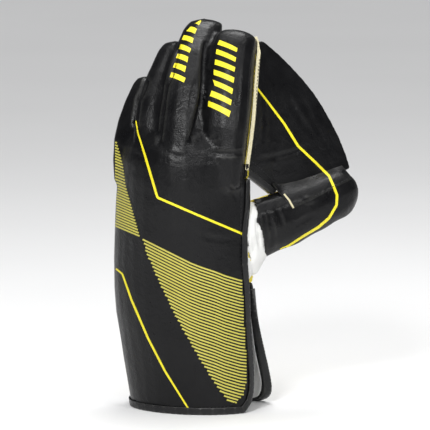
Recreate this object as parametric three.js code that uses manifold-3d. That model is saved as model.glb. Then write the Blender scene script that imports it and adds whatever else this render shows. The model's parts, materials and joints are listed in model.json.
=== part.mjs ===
// Wicketkeeping glove for the left hand, standing on the rim of its gauntlet.
// Lengths are in millimetres and angles in degrees. +Z runs up towards the fingertips, +X towards
// the thumb and +Y from the back of the hand towards the palm. The glove is drawn round the middle
// of its gauntlet, and the finished group is moved to stand on the middle of its own base.
import * as THREE from "three";
import { mergeVertices } from "three/addons/utils/BufferGeometryUtils.js";
import Module from "manifold-3d";

const wasm = await Module();
wasm.setup();

// Driving sizes.
const HAND_HEIGHT = 243; // rim of the gauntlet to the crotches between the fingers
const GAUNTLET_HEIGHT = 112; // rim to the wrist seam on the palm side
const HALF_WIDTH = 60; // half the width of the gauntlet and the hand
const HALF_DEPTH = 44; // half the depth of the gauntlet
const FINGER_WIDTH = 36;
const FINGER_DEPTH = 38;
const FINGER_LENGTH = 160;
const THUMB_LENGTH = 112;
const THUMB_WIDTH = 52; // across the open end of the thumb stall, along the web's plane
const THUMB_DEPTH = 37;
const BACK_WALL = 7; // padded leather on the back of the hand and fingers
const SIDE_WALL = 3.2;
const PALM_WALL = 3.6; // rubber-faced leather of the palm
const RIM_WALL = 3.6; // the padding thins to this at the rim
const THUMB_WALL = 4;
const FLAP_WALL = 3; // palm side of the gauntlet
const LINING_WALL = 1; // white lining inside the flap
const GUSSET_WALL = 1;
const GUSSET_INSET = 9; // it starts this far inside the hand and ends this far inside the thumb
const MOUTH_SLANT = 14; // the thumb's open end is this much further out at its lower side
const WEB_WALL = 2;
const WEB_FACING_WALL = 2;
const BINDING_WIDTH = 5; // folded binding along the edges of the gauntlet
const BINDING_WALL = 0.9;
const EDGE_HEIGHT = 3; // the raw edge beside the index finger stands up this far
const EDGE_WALL = 1.4;
const CORNER_HEIGHT = 30; // height of the back panel's rounded lower corner
const FLAP_CORNER = 14; // height of the flap's rounded corner
const WEB_BULGE = 12; // the web's outer edge bows out this far from a straight line
const WEB_TOP = 11; // width of the web where it is sewn to the tip of the index finger
const GAP = 0.3; // clearance between neighbouring pieces
const SLOT_WIDTH = 1.2; // the fingers stand this far apart
const FOLD_GAP = 0.5; // clearance inside a folded binding
const SEAM_SHIFT = 1; // the fingers' side seams lie this far to the palm side of their middle
const THUMB_SEAM_SHIFT = 2;

// Angles.
const SIDE_WRAP = 20; // the back panel reaches this far round the little finger's side
const CORNER_SWEEP = 24; // how far round the panel's rounded corner sweeps
const FLAP_SWEEP = 18; // how far round the flap's rounded corner sweeps
const SEAM_TURN = -16; // where the web is sewn round the index finger
const EDGE_TURN = 14; // how far towards the back of the web its raw edge stands
const THUMB_OUT = 43; // the thumb points this far from the thumb side towards the palm
const THUMB_RISE = 18;
const THUMB_CURL = 10;

// Shares.
const WRIST_SHARE = 0.461; // the gauntlet's top in the PANEL_EDGE table
const SEAM_LOW = 0.872; // where the web's seam starts, as a share of HAND_HEIGHT
const SEAM_HIGH = 0.96; // where it ends, as a share of the index finger's length
const WEB_FREE = 0.38; // share of the web's lower side that is free of the thumb
const WEB_LANDING = 0.31; // where the web meets the thumb, as a share of the thumb's length
const WEB_TIP = 1.01; // where its outer edge reaches the line of the thumb's upper side
const GUSSET_TALL = 0.4885; // the gusset's width at the hand, as a share of the hand above the gauntlet
const GUSSET_DEEP = 0.864; // the gusset's depth where it is sewn to the hand, as a share of HALF_DEPTH
const ROOT_SHARE = 0.81; // where the stalls start, as a share of HAND_HEIGHT
const THUMB_SHARE = 0.323; // where the thumb's middle meets the hand, as a share of the way up the hand
const THUMB_ACROSS = 0.88; // and as a share of the hand's half width there
const THUMB_DEEP = 0.36; // and towards the palm, as a share of HALF_DEPTH
const PARTING_SHARE = 0.84; // above it the seam of back and palm follows the fingers
const KNUCKLE_SHARE = 0.92; // where the finger stalls are sewn to the back panel
const FINGER_CLOSING = 0.13; // a finger's tip rounds off over this share of its length
const THUMB_CLOSING = 0.2;
const HOLLOW_START = 0.06; // the hollow of a finger starts at this share of its length
const HOLLOW_END = 0.94; // and of any stall ends at this one

// Cross-sections of the hand and gauntlet from the rim up. at is a share of HAND_HEIGHT; x and half
// are shares of HALF_WIDTH; y, bow, back and palm are shares of HALF_DEPTH. bow arches the section
// towards the back of the hand, as in a cupped palm.
const BODY_SECTIONS = [
  { at: 0.0, x: 0.06, y: 0.09, half: 0.96, bow: 0.0, back: 1.0, palm: 1.0 },
  { at: 0.16, x: 0.0, y: 0.07, half: 1.0, bow: 0.02, back: 0.98, palm: 0.95 },
  { at: 0.34, x: -0.08, y: 0.02, half: 1.04, bow: 0.09, back: 0.91, palm: 0.82 },
  { at: 0.52, x: -0.1, y: -0.02, half: 1.05, bow: 0.23, back: 0.82, palm: 0.68 },
  { at: 0.69, x: -0.1, y: -0.04, half: 1.01, bow: 0.42, back: 0.72, palm: 0.58 },
  { at: 0.84, x: -0.09, y: -0.03, half: 1.0, bow: 0.6, back: 0.6, palm: 0.46 },
  { at: 0.94, x: -0.08, y: 0.0, half: 0.96, bow: 0.68, back: 0.48, palm: 0.34 },
  { at: 1.0, x: -0.06, y: 0.08, half: 0.88, bow: 0.74, back: 0.22, palm: 0.16 },
];

// The back panel's thumb edge from the rim up, as the angle round the section.
const PANEL_EDGE = [
  { at: 0.0, turn: 10 },
  { at: 0.2, turn: 11 },
  { at: 0.43, turn: 11 },
  { at: 0.53, turn: 14 },
  { at: 0.64, turn: 11 },
  { at: 0.77, turn: -4 },
  { at: 1.0, turn: -10 },
];

// The flap's thumb edge, with at as a share of GAUNTLET_HEIGHT: the angle round the section, and the
// share by which the edge flares out. The flare grows between two angles round the section.
const FLARE_FROM = -110;
const FLARE_TO = -40;
const FLAP_EDGE = [
  { at: 0.0, turn: -44, flare: 0.25 },
  { at: 0.3, turn: -35, flare: 0.16 },
  { at: 0.5, turn: -22, flare: 0.08 },
  { at: 0.72, turn: -10, flare: 0.03 },
  { at: 1.0, turn: 3, flare: 0.0 },
];

// Finger stalls. x and y place the root as shares of HALF_WIDTH and HALF_DEPTH; width, depth and
// length are shares of the finger's driving sizes; curl is the whole bend towards the palm,
// lean tips the stall towards the thumb and turn faces its front away from the thumb.
const FINGERS = [
  { name: "index", x: 0.59, y: -0.32, width: 1.2, depth: 1.05, length: 0.87, curl: 42, lean: 2, turn: 12 },
  { name: "middle", x: 0.02, y: -0.78, width: 1.1, depth: 1.02, length: 1.02, curl: 67, lean: -1, turn: 0 },
  { name: "ring", x: -0.5, y: -0.5, width: 0.88, depth: 0.96, length: 0.83, curl: 57, lean: 0, turn: -8 },
  { name: "little", x: -0.93, y: -0.08, width: 0.78, depth: 0.82, length: 0.58, curl: 46, lean: 0, turn: -20 },
];

// How a stall swells along its length, as shares of its half width and half depth.
const FINGER_SWELL = [
  { at: 0.0, width: 0.8, depth: 0.8 },
  { at: 0.4, width: 1.0, depth: 1.0 },
  { at: 0.8, width: 0.97, depth: 0.98 },
  { at: 1.0, width: 0.93, depth: 0.94 },
];
const THUMB_SWELL = [
  { at: 0.0, width: 1.0, depth: 1.0 },
  { at: 0.3, width: 0.9, depth: 0.97 },
  { at: 0.6, width: 0.81, depth: 0.94 },
  { at: 1.0, width: 0.72, depth: 0.88 },
];
const EVEN_SWELL = [
  { at: 0.0, width: 1.0, depth: 1.0 },
  { at: 1.0, width: 1.0, depth: 1.0 },
];

// Powers that shape the sections: 1 is a straight slope, higher is flatter in the middle.
const ARCH_POWER = 1.6;
const TIP_POWER = 2.4;
const FINGER_SQUARE = 0.8; // 1 is an ellipse, lower is squarer
const THUMB_SQUARE = 0.9;

const SIDES = 30; // facets round the body
const BODY_ROWS = 7;
const CORNER_ROWS = 4;
const KNUCKLE_ROWS = 3;
const FLAP_ROWS = 8;
const FLAP_COLUMNS = 14;
const LINING_COLUMNS = 6;
const RIM_COLUMNS = 16;
const WEB_ROWS = 9;
const WEB_COLUMNS = 8;
const FINGER_SIDES = 12;
const FINGER_RINGS = 5;
const GUSSET_RINGS = 5;
const FAR = 200; // cutting solids reach this far
const MERGE = 0.001; // points closer than this are one point
const OVERRUN = 0.2; // and run past a stall's ends by this share of its length

const LEATHER = { color: 0x17171a, roughness: 0.42, metalness: 0 };
const RUBBER = { color: 0xe6cf1e, roughness: 0.7, metalness: 0 };
const WHITE_CLOTH = { color: 0xf1f1f0, roughness: 0.9, metalness: 0 };
const RAW_EDGE = { color: 0xd9cfae, roughness: 0.85, metalness: 0 };

const rimLift = BINDING_WALL + FOLD_GAP; // the leather stands this far above the floor, inside its binding
const rootHeight = ROOT_SHARE * HAND_HEIGHT;
const partingHeight = PARTING_SHARE * HAND_HEIGHT;
const knuckleHeight = KNUCKLE_SHARE * HAND_HEIGHT;

const vec = (x, y, z) => new THREE.Vector3(x, y, z);
const rad = THREE.MathUtils.degToRad;
const deg = THREE.MathUtils.radToDeg;
const mix = THREE.MathUtils.lerp;
const ease = THREE.MathUtils.smoothstep;
const steps = (from, to, count) => Array.from({ length: count + 1 }, (_, i) => mix(from, to, i / count));
const joined = (solids) => solids.reduce((all, one) => all.add(one));

// A row between the rows of a table, by a smooth curve through each column.
function rowAt(table, at) {
  const last = table.length - 1;
  let i = 0;
  while (i < last - 1 && table[i + 1].at < at) i += 1;
  const t = THREE.MathUtils.clamp((at - table[i].at) / (table[i + 1].at - table[i].at), 0, 1);
  const before = table[Math.max(i - 1, 0)];
  const after = table[Math.min(i + 2, last)];
  const span = table[i + 1].at - table[i].at;
  const row = { at };
  for (const key of Object.keys(table[0])) {
    if (key === "at") continue;
    const slope0 = ((table[i + 1][key] - before[key]) / (table[i + 1].at - before.at)) * span;
    const slope1 = ((after[key] - table[i][key]) / (after.at - table[i].at)) * span;
    const t2 = t * t;
    const t3 = t2 * t;
    row[key] =
      (2 * t3 - 3 * t2 + 1) * table[i][key] +
      (t3 - 2 * t2 + t) * slope0 +
      (3 * t2 - 2 * t3) * table[i + 1][key] +
      (t3 - t2) * slope1;
  }
  return row;
}

// Points and faces as a solid with its faces pointing out.
function solidOf(points, faces) {
  const geometry = new THREE.BufferGeometry().setFromPoints(points).setIndex(faces);
  const merged = mergeVertices(geometry, MERGE);
  const index = merged.index.array;
  const kept = [];
  for (let i = 0; i < index.length; i += 3) {
    const [a, b, c] = [index[i], index[i + 1], index[i + 2]];
    if (a !== b && b !== c && c !== a) kept.push(a, b, c);
  }
  const vertProperties = new Float32Array(merged.attributes.position.array);
  const turned = kept.map((_, i) => kept[i - (i % 3) + [0, 2, 1][i % 3]]);
  const [solid, other] = [kept, turned].map((order) =>
    new wasm.Manifold(new wasm.Mesh({ numProp: 3, vertProperties, triVerts: new Uint32Array(order) })),
  );
  return solid.volume() > 0 ? solid : other;
}

// A closed solid from rings of points with equal counts; each end is a fan round its own middle.
function solidFromRings(rings) {
  const n = rings[0].length;
  const middle = (ring) => ring.reduce((sum, p) => sum.add(p), vec(0, 0, 0)).divideScalar(n);
  const points = rings.flat().concat([middle(rings[0]), middle(rings.at(-1))]);
  const faces = [];
  for (let r = 0; r + 1 < rings.length; r += 1) {
    for (let i = 0; i < n; i += 1) {
      const a = r * n + i;
      const b = r * n + ((i + 1) % n);
      faces.push(a, b, b + n, a, b + n, a + n);
    }
  }
  const low = rings.length * n;
  const high = low + 1;
  const top = (rings.length - 1) * n;
  for (let i = 0; i < n; i += 1) {
    const j = (i + 1) % n;
    faces.push(low, j, i, high, top + i, top + j);
  }
  return solidOf(points, faces);
}

// The largest body of a solid: a cut may leave a sliver beside a seam.
function mainBody(solid) {
  return solid.decompose().sort((a, b) => b.volume() - a.volume())[0];
}


// A closed slab between two grids of points, front[row][column] and back[row][column].
function solidFromGrids(front, back) {
  const rows = front.length;
  const columns = front[0].length;
  const points = front.flat().concat(back.flat());
  const at = (side, r, c) => side * rows * columns + r * columns + c;
  const faces = [];
  const quad = (a, b, c, d) => faces.push(a, b, c, a, c, d);
  const end = columns - 1;
  const top = rows - 1;
  for (let r = 0; r < top; r += 1) {
    for (let c = 0; c < end; c += 1) {
      quad(at(0, r, c), at(0, r, c + 1), at(0, r + 1, c + 1), at(0, r + 1, c));
      quad(at(1, r, c), at(1, r + 1, c), at(1, r + 1, c + 1), at(1, r, c + 1));
    }
    quad(at(0, r, 0), at(0, r + 1, 0), at(1, r + 1, 0), at(1, r, 0));
    quad(at(0, r + 1, end), at(0, r, end), at(1, r, end), at(1, r + 1, end));
  }
  for (let c = 0; c < end; c += 1) {
    quad(at(0, 0, c + 1), at(0, 0, c), at(1, 0, c), at(1, 0, c + 1));
    quad(at(0, top, c), at(0, top, c + 1), at(1, top, c + 1), at(1, top, c));
  }
  return solidOf(points, faces);
}

// A solid as a named three.js mesh.
function meshOf(name, solid, finish) {
  const made = solid.getMesh();
  const positions = new Float32Array(made.numVert * 3);
  for (let i = 0; i < made.numVert; i += 1) {
    for (let k = 0; k < 3; k += 1) {
      positions[i * 3 + k] = made.vertProperties[i * made.numProp + k];
    }
  }
  const geometry = new THREE.BufferGeometry();
  geometry.setAttribute("position", new THREE.BufferAttribute(positions, 3));
  geometry.setIndex(new THREE.BufferAttribute(made.triVerts, 1));
  geometry.computeVertexNormals();
  const mesh = new THREE.Mesh(geometry, new THREE.MeshStandardMaterial(finish));
  mesh.name = name;
  return mesh;
}

// The section of the body at a height, in millimetres.
function bodyRow(z) {
  const row = rowAt(BODY_SECTIONS, z / HAND_HEIGHT);
  return {
    x: row.x * HALF_WIDTH,
    y: row.y * HALF_DEPTH,
    half: row.half * HALF_WIDTH,
    bow: row.bow * HALF_DEPTH,
    back: row.back * HALF_DEPTH,
    palm: row.palm * HALF_DEPTH,
  };
}

// A point of the body's surface: angle 0 is the thumb side, 90 the back of the hand. walls is how
// far inside the outer surface the point lies, on the back, on the palm side and at the two sides.
const evenWalls = (wall) => ({ back: wall, palm: wall, side: wall });
const NO_WALLS = evenWalls(0);
function bodyPoint(angle, z, walls = NO_WALLS, spread = 1) {
  const row = bodyRow(z);
  const c = Math.cos(rad(angle));
  const s = Math.sin(rad(angle));
  const depth = s > 0 ? row.back - walls.back : row.palm - walls.palm;
  const arch = row.bow * (1 - Math.abs(c) ** ARCH_POWER);
  return vec(
    row.x + spread * (row.half - walls.side) * c,
    row.y - arch - spread * depth * s,
    z,
  );
}

// The angle that a width takes up round the body, at an angle and a height.
function turnFor(width, angle, z) {
  return width / bodyPoint(angle + 0.5, z).distanceTo(bodyPoint(angle - 0.5, z));
}

// The walls of the body at a height: the padding thins towards the rim.
function bodyWalls(z) {
  const thin = ease(z, 0, CORNER_HEIGHT);
  return { back: mix(RIM_WALL, BACK_WALL, thin), palm: PALM_WALL, side: SIDE_WALL };
}

// Heights of the rows between two heights, closer at the rounded corner of the rim.
function rowsBetween(low, high) {
  const inner = [
    ...steps(rimLift, CORNER_HEIGHT, CORNER_ROWS),
    ...steps(CORNER_HEIGHT, partingHeight, BODY_ROWS).slice(1),
    ...steps(partingHeight, HAND_HEIGHT, KNUCKLE_ROWS).slice(1),
  ];
  return [low, ...inner.filter((z) => z > low + 1 && z < high - 1), high];
}

function bodySolid(wallsAt, low, high) {
  const rings = rowsBetween(low, high).map((z) =>
    steps(0, 360, SIDES).slice(0, -1).map((angle) => bodyPoint(angle, z, wallsAt(z))),
  );
  return solidFromRings(rings);
}

// A point of the body at a depth inside its outer surface, or outside it where depth is negative.
function wallPoint(angle, z, depth) {
  if (depth < 0) return bodyPoint(angle, z, evenWalls(depth));
  const full = bodyWalls(z);
  const share = Math.min(1, depth / full.back);
  const past = Math.max(0, depth - full.back);
  const walls = { back: depth, palm: full.palm * share + past, side: full.side * share + past };
  return bodyPoint(angle, z, walls);
}

// A wedge round the body between two angles that follow the height, for cutting. Its faces cross
// the wall at those angles.
function bodyWedge(low, high, from, to) {
  const rings = rowsBetween(low, high).map((z) => {
    const row = bodyRow(z);
    const hub = vec(row.x, row.y - row.bow, z);
    const inner = (angle) => wallPoint(angle, z, bodyWalls(z).back * 1.5);
    const far = (angle) => bodyPoint(angle, z).sub(hub).setLength(FAR).add(hub);
    const near = (angle) => wallPoint(angle, z, -BACK_WALL);
    const arc = steps(from(z), to(z), 6).map(far);
    return [hub, inner(from(z)), near(from(z)), ...arc, near(to(z)), inner(to(z))];
  });
  return solidFromRings(rings);
}

// A stall's centre and directions at a share of its length, on an arc that bends to the palm.
function stallAt(stall, share) {
  const bend = rad(stall.curl);
  const t = bend * share;
  const reach = stall.length / bend;
  const centre = stall.root
    .clone()
    .addScaledVector(stall.along, reach * Math.sin(t))
    .addScaledVector(stall.palm, reach * (1 - Math.cos(t)));
  const back = stall.along
    .clone()
    .multiplyScalar(Math.sin(t))
    .addScaledVector(stall.palm, -Math.cos(t));
  return { centre, back, side: stall.side };
}

// A stall from its root, its direction and its front, in millimetres.
function stallOf(root, along, front, sizes) {
  along.normalize();
  const palm = front.clone().addScaledVector(along, -front.dot(along)).normalize();
  return { root, along, palm, side: vec(0, 0, 0).crossVectors(along, palm).negate(), ...sizes };
}

// A point of a stall's surface: angle 0 is its thumb side, 90 its back. walls as in bodyPoint.
function stallPoint(stall, angle, share, walls = NO_WALLS, end = 1) {
  const { centre, back, side } = stallAt(stall, share);
  const swell = rowAt(stall.swell, THREE.MathUtils.clamp(share, 0, 1));
  const tip = THREE.MathUtils.clamp((share - end + stall.closing) / stall.closing, 0, 1);
  const close = Math.sqrt(Math.max(0, 1 - tip ** TIP_POWER));
  const c = Math.cos(rad(angle));
  const s = Math.sin(rad(angle));
  const wide = Math.sign(c) * Math.abs(c) ** stall.square;
  const deep = Math.sign(s) * Math.abs(s) ** stall.square;
  const halfWidth = (stall.width / 2) * swell.width - walls.side;
  const halfDepth = (stall.depth / 2) * swell.depth - (s > 0 ? walls.back : walls.palm);
  return centre
    .addScaledVector(side, halfWidth * close * wide)
    .addScaledVector(back, halfDepth * close * deep);
}

function stallSolid(stall, walls = NO_WALLS, start = 0, end = 1) {
  const closing = [0, 0.4, 0.7, 0.9, 0.99].map((t) => end - stall.closing * (1 - t));
  const shares = steps(start, end - stall.closing, FINGER_RINGS).slice(0, -1).concat(closing);
  return solidFromRings(
    shares.map((share) =>
      steps(0, 360, FINGER_SIDES).slice(0, -1).map((angle) => stallPoint(stall, angle, share, walls, end)),
    ),
  );
}

// Everything on the palm side of a stall's seam, for cutting.
function stallFront(stall, start, margin) {
  const rings = steps(start, 1 + OVERRUN, FINGER_RINGS + 1).map((share) => {
    const { centre, back, side } = stallAt(stall, share);
    const corner = (across, deep) =>
      centre.clone().addScaledVector(side, across).addScaledVector(back, deep);
    const near = margin - stall.seam;
    const far = -2 * stall.depth;
    return [corner(-stall.width, near), corner(stall.width, near), corner(stall.width, far),
      corner(-stall.width, far)];
  });
  return solidFromRings(rings);
}

// The fingers.
const fingers = FINGERS.map((finger) => {
  const root = vec(finger.x * HALF_WIDTH, finger.y * HALF_DEPTH, rootHeight);
  const along = vec(Math.tan(rad(finger.lean)), 0, 1);
  const front = vec(-Math.sin(rad(finger.turn)), Math.cos(rad(finger.turn)), 0);
  return stallOf(root, along, front, {
    name: finger.name,
    width: finger.width * FINGER_WIDTH,
    depth: finger.depth * FINGER_DEPTH,
    length: finger.length * FINGER_LENGTH,
    curl: finger.curl,
    swell: FINGER_SWELL,
    closing: FINGER_CLOSING,
    square: FINGER_SQUARE,
    seam: SEAM_SHIFT,
  });
});

// Where two neighbouring fingers part, at a height.
function partingX(right, left, z) {
  const [a, b] = [right, left].map(
    (stall) => stall.root.x + (stall.along.x / stall.along.z) * (z - stall.root.z),
  );
  return (a - right.width / 2 + b + left.width / 2) / 2;
}

// The space of one finger between its neighbours, narrowed by a margin on both sides.
function fingerColumn(i, margin, low) {
  const wall = (right, left, z, side) =>
    right && left ? partingX(right, left, z) - side * margin : side * FAR;
  const ring = (z) => {
    const lowX = wall(fingers[i], fingers[i + 1], z, -1);
    const highX = wall(fingers[i - 1], fingers[i], z, 1);
    return [vec(lowX, -FAR, z), vec(highX, -FAR, z), vec(highX, FAR, z), vec(lowX, FAR, z)];
  };
  return solidFromRings([ring(low), ring(low + 2 * FAR)]);
}

// The thumb.
const thumbHeight = mix(GAUNTLET_HEIGHT, HAND_HEIGHT, THUMB_SHARE);
const thumbRow = bodyRow(thumbHeight);
const thumbRoot = vec(
  thumbRow.x + THUMB_ACROSS * thumbRow.half,
  thumbRow.y + THUMB_DEEP * HALF_DEPTH,
  thumbHeight,
);
const thumbAlong = vec(
  Math.cos(rad(THUMB_RISE)) * Math.cos(rad(THUMB_OUT)),
  Math.cos(rad(THUMB_RISE)) * Math.sin(rad(THUMB_OUT)),
  Math.sin(rad(THUMB_RISE)),
);
const thumb = stallOf(thumbRoot, thumbAlong, vec(-Math.sin(rad(THUMB_OUT)), Math.cos(rad(THUMB_OUT)), 0), {
  width: THUMB_WIDTH,
  depth: THUMB_DEPTH,
  length: THUMB_LENGTH,
  curl: THUMB_CURL,
  swell: THUMB_SWELL,
  closing: THUMB_CLOSING,
  square: THUMB_SQUARE,
  seam: THUMB_SEAM_SHIFT,
});

// The slots between neighbouring fingers, for cutting.
const slotBottom = knuckleHeight + BACK_WALL;
const slots = joined(
  fingers.slice(1).map((stall, i) => {
    const ring = (z) => {
      const x = partingX(fingers[i], stall, z);
      const [low, high] = [x - SLOT_WIDTH / 2, x + SLOT_WIDTH / 2];
      return [vec(low, -FAR, z), vec(high, -FAR, z), vec(high, FAR, z), vec(low, FAR, z)];
    };
    return solidFromRings([ring(slotBottom), ring(slotBottom + FAR)]);
  }),
);

// The outer shape and the hollow.
const outer = joined([
  bodySolid(() => NO_WALLS, 0, HAND_HEIGHT),
  ...fingers.map((stall, i) => stallSolid(stall).intersect(fingerColumn(i, GAP, 0))),
]).subtract(slots);
const fingerWalls = { back: BACK_WALL, palm: PALM_WALL, side: SIDE_WALL };
const hollow = joined([
  bodySolid(bodyWalls, -GAP, knuckleHeight + SIDE_WALL),
  ...fingers.map((stall, i) =>
    stallSolid(stall, fingerWalls, HOLLOW_START, HOLLOW_END).intersect(fingerColumn(i, SIDE_WALL, 0)),
  ),
]);

// What lies within a clearance of the hand, for cutting its neighbours.
const grownOuter = joined([
  bodySolid(() => evenWalls(-GAP), 0, HAND_HEIGHT),
  ...fingers.map((stall) => stallSolid(stall, evenWalls(-GAP), 0, 1)),
]);

// The white gusset: a sleeve from inside the hand to inside the thumb.
const gussetStart = -GUSSET_INSET / THUMB_LENGTH;
const gussetEnd = (MOUTH_SLANT + GUSSET_INSET) / THUMB_LENGTH;
const OPEN = 9; // a stall that would close at this share of its length stays open
function gussetSolid(wall, longer = 0) {
  const slack = 2 * (THUMB_WALL + 2 * GAP);
  const shares = steps(gussetStart, gussetEnd, GUSSET_RINGS);
  if (longer) {
    shares.unshift(gussetStart - longer);
    shares.push(gussetEnd + longer);
  }
  const rings = shares.map((share) => {
    const t = ease(share, gussetStart, gussetEnd);
    const swell = rowAt(THUMB_SWELL, Math.max(share, 0));
    const shape = {
      ...thumb,
      width: mix(GUSSET_TALL * (HAND_HEIGHT - GAUNTLET_HEIGHT), THUMB_WIDTH * swell.width - slack, t),
      depth: mix(GUSSET_DEEP * HALF_DEPTH, THUMB_DEPTH * swell.depth - slack, t),
      swell: EVEN_SWELL,
    };
    return steps(0, 360, FINGER_SIDES).slice(0, -1).map((angle) =>
      stallPoint(shape, angle, share, evenWalls(wall), OPEN),
    );
  });
  return solidFromRings(rings);
}
const gusset = gussetSolid(0).subtract(gussetSolid(GUSSET_WALL, OVERRUN));
const passage = gussetSolid(-GAP, OVERRUN);
const shell = outer.subtract(hollow).subtract(passage);

// Edges of the back panel and of the flap, as angles round the section.
const corner = (z, height, sweep) =>
  z >= height ? 0 : sweep * (1 - Math.sqrt(1 - ((height - z) / height) ** 2));
const wristShare = (z) =>
  z < GAUNTLET_HEIGHT
    ? (WRIST_SHARE * z) / GAUNTLET_HEIGHT
    : mix(WRIST_SHARE, 1, (z - GAUNTLET_HEIGHT) / (HAND_HEIGHT - GAUNTLET_HEIGHT));
const panelEdge = (z) =>
  rowAt(PANEL_EDGE, wristShare(z)).turn + corner(Math.max(z, 0), CORNER_HEIGHT, CORNER_SWEEP);
const flapEdge = (z) =>
  rowAt(FLAP_EDGE, z / GAUNTLET_HEIGHT).turn - corner(Math.max(z, 0), FLAP_CORNER, FLAP_SWEEP);
const littleEdge = 180 + SIDE_WRAP;
const edgeRoom = BINDING_WALL + 3 * FOLD_GAP;

// The region of the rubber-faced palm, grown by a margin. Its two parts overlap by SINK.
const SINK = 1;
function palmRegion(margin) {
  const body = bodyWedge(
    GAUNTLET_HEIGHT - margin,
    partingHeight + margin,
    (z) => littleEdge - 360 - turnFor(margin, littleEdge, z),
    (z) => panelEdge(z) - turnFor(edgeRoom - margin, panelEdge(z), z),
  );
  const fronts = fingers.map((stall, i) => {
    const column = fingerColumn(i, -GAP / 4 - margin, partingHeight - SINK - margin);
    return stallFront(stall, 0, margin).intersect(column);
  });
  return joined([body, ...fronts]);
}
const thumbSide = bodyWedge(
  -SINK,
  partingHeight - SINK,
  (z) => littleEdge - 360 - turnFor(GAP, littleEdge, z),
  panelEdge,
);
const back = shell.subtract(palmRegion(GAP)).subtract(thumbSide);
const palm = mainBody(shell.intersect(palmRegion(0)));

// A box as wide as everything between two heights, for cutting.
function layer(low, high) {
  const ring = (z) => [vec(-FAR, -FAR, z), vec(FAR, -FAR, z), vec(FAR, FAR, z), vec(-FAR, FAR, z)];
  return solidFromRings([ring(low), ring(high)]);
}

// A folded binding over an edge: path is a row of places on a surface, as angle and height, and
// inwards is 1 where the piece lies to the left of the path.
function foldedBinding(surface, wallAt, path, inwards) {
  const place = (i, width, depth) => {
    const [a, b] = [path[Math.max(i - 1, 0)], path[Math.min(i + 1, path.length - 1)]];
    const here = path[i];
    const round = (b.angle - a.angle) / turnFor(1, here.angle, here.z);
    const along = new THREE.Vector2(round, b.z - a.z).normalize();
    const angle = here.angle - turnFor(along.y * width * inwards, here.angle, here.z);
    const z = here.z + along.x * width * inwards;
    return surface(angle, z, depth(z));
  };
  const loop = (i, off) => {
    const front = () => -off;
    const rear = (z) => wallAt(z) + off;
    return [
      place(i, BINDING_WIDTH, front),
      place(i, BINDING_WIDTH / 2, front),
      place(i, -off, front),
      place(i, -off, rear),
      place(i, BINDING_WIDTH / 2, rear),
      place(i, BINDING_WIDTH, rear),
    ];
  };
  const outside = path.map((_, i) => loop(i, BINDING_WALL + FOLD_GAP));
  const inside = path.map((_, i) => loop(i, FOLD_GAP));
  return solidFromGrids(outside, inside);
}

// The binding of the back panel: along the rim, round the corner and up the thumb edge.
const panelPath = [
  ...steps(littleEdge - 1, panelEdge(rimLift), RIM_COLUMNS).map((angle) => ({ angle, z: rimLift })),
  ...rowsBetween(rimLift, partingHeight).slice(1).map((z) => ({ angle: panelEdge(z), z })),
];
const rimBinding = mainBody(
  foldedBinding(wallPoint, (z) => bodyWalls(z).back, panelPath, -1)
    .intersect(layer(-SINK, partingHeight - 2 * SINK))
    .subtract(passage),
);

// The back panel and the finger stalls, sewn together at the knuckles.
const backPanel = mainBody(back.intersect(layer(rimLift, knuckleHeight - GAP)));
const stallBacks = fingers.map((stall, i) => back.intersect(fingerColumn(i, GAP / 2, knuckleHeight)));

// The palm side of the gauntlet, with its flared flap.
function flapPoint(angle, z, depth) {
  const row = rowAt(FLAP_EDGE, z / GAUNTLET_HEIGHT);
  const flare = row.flare * ease(angle, FLARE_FROM, FLARE_TO);
  return bodyPoint(angle, z, evenWalls(depth), 1 + flare);
}
const flapTop = GAUNTLET_HEIGHT - GAP;
const flapHeights = [
  ...steps(rimLift, FLAP_CORNER, CORNER_ROWS),
  ...steps(FLAP_CORNER, flapTop, FLAP_ROWS).slice(1),
];
function flapGrid(depth, inset, columns) {
  return flapHeights.map((height, i) => {
    const z = i === 0 ? height + inset : Math.min(height, flapTop) - (height === flapTop ? inset : 0);
    const from = littleEdge - 360 + turnFor(GAP + inset, littleEdge, z);
    const to = flapEdge(height) - turnFor(inset, flapEdge(height), z);
    const fold = to - turnFor(BINDING_WIDTH, to, z);
    const angles = [...steps(from, fold, columns - 2).slice(0, -1), ...steps(fold, to, 2)];
    return angles.map((angle) => flapPoint(angle, z, depth));
  });
}
const flapPath = [
  ...steps(littleEdge - 359, flapEdge(rimLift), FLAP_COLUMNS).map((angle) => ({ angle, z: rimLift })),
  ...flapHeights.slice(1).map((z) => ({ angle: flapEdge(z), z })),
];
const flap = solidFromGrids(flapGrid(0, 0, FLAP_COLUMNS), flapGrid(FLAP_WALL, 0, FLAP_COLUMNS));
const flapBinding = mainBody(
  foldedBinding(flapPoint, () => FLAP_WALL, flapPath, 1)
    .intersect(layer(-SINK, flapTop - 2 * edgeRoom)),
);
const liningDepth = FLAP_WALL + FOLD_GAP + BINDING_WALL + GAP;
const liningInset = BINDING_WALL + GAP;
const lining = solidFromGrids(
  flapGrid(liningDepth, liningInset, LINING_COLUMNS),
  flapGrid(liningDepth + LINING_WALL, liningInset, LINING_COLUMNS),
);

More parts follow.
